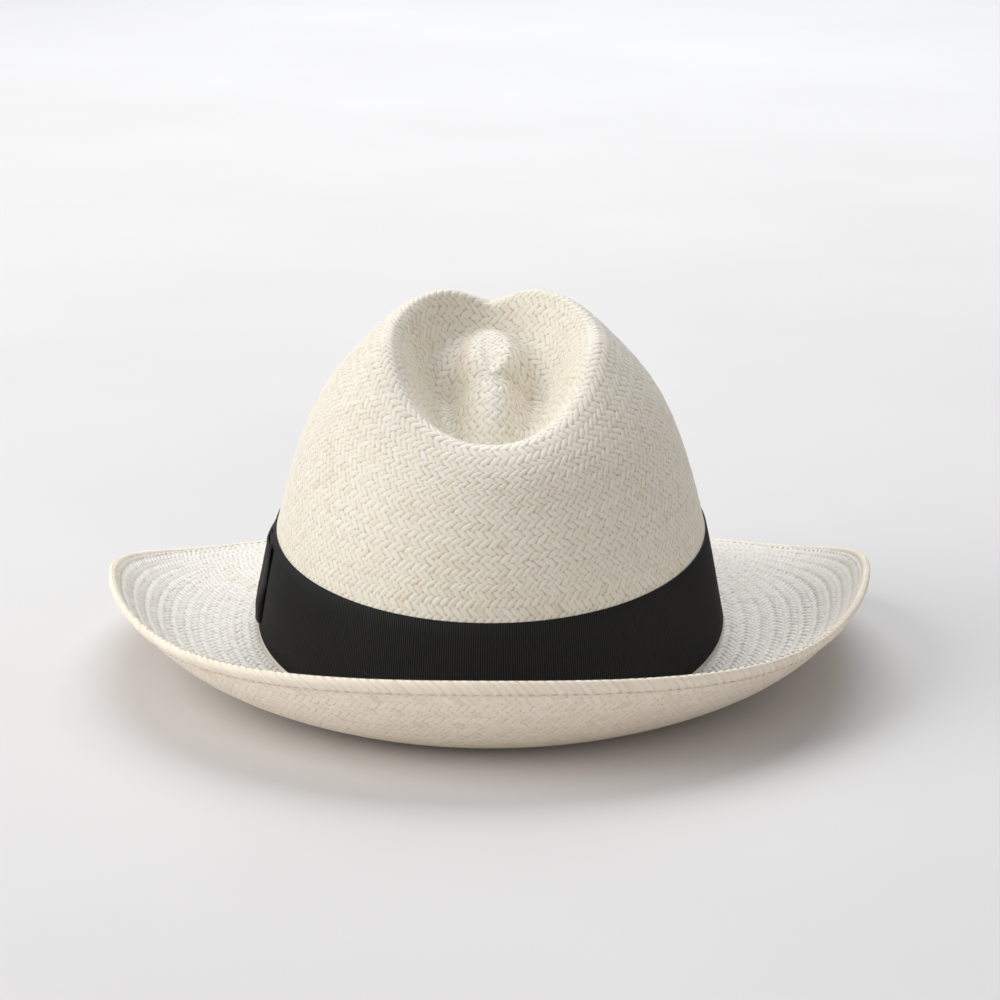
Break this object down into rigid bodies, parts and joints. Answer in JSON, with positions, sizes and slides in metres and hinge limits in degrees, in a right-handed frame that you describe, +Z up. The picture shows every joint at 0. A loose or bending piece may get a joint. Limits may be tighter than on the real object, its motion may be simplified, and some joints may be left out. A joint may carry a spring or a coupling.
{
  "type": "panama hat",
  "caption": "Woven straw fedora with a teardrop crown, a brim curled up at the sides and rear, and a plain dark ribbon band with a flat bow.",
  "frame": {"origin": "middle of the hat's footprint on the table, under the middle of its bounding box", "axes": "+Y to the front of the hat, +X to the wearer's right, +Z up; the hat stands on a table, tilted back by about 7 degrees, on its front brim edge and the rear of its brim"},
  "size_m": [0.2882, 0.3162, 0.1329],
  "materials": {
    "straw": "bleached palm straw in a fine herringbone weave, dry with a faint silky sheen along each strand",
    "ribbon": "black grosgrain ribbon with fine upright ribs, soft satin sheen",
    "black_thread": "black sewing thread, matte",
    "cream_thread": "cream sewing thread, matte",
    "sweatband": "thin tan leather, smooth with a fine grain",
    "seam_tape": "narrow tan cotton tape, matte"
  },
  "bodies": {
    "root": {"straw_body": "straw", "hem_stitching": "cream_thread", "hatband": "ribbon", "hatband_tacks": "black_thread", "bow_tail": "ribbon", "bow_loop_rear": "ribbon", "bow_loop_front": "ribbon", "bow_knot": "ribbon", "bow_stitches": "black_thread", "sweatband": "sweatband", "sweatband_reed": "sweatband", "sweatband_stitching": "cream_thread", "sweatband_seam_tape": "seam_tape"}
  },
  "joints": []
}
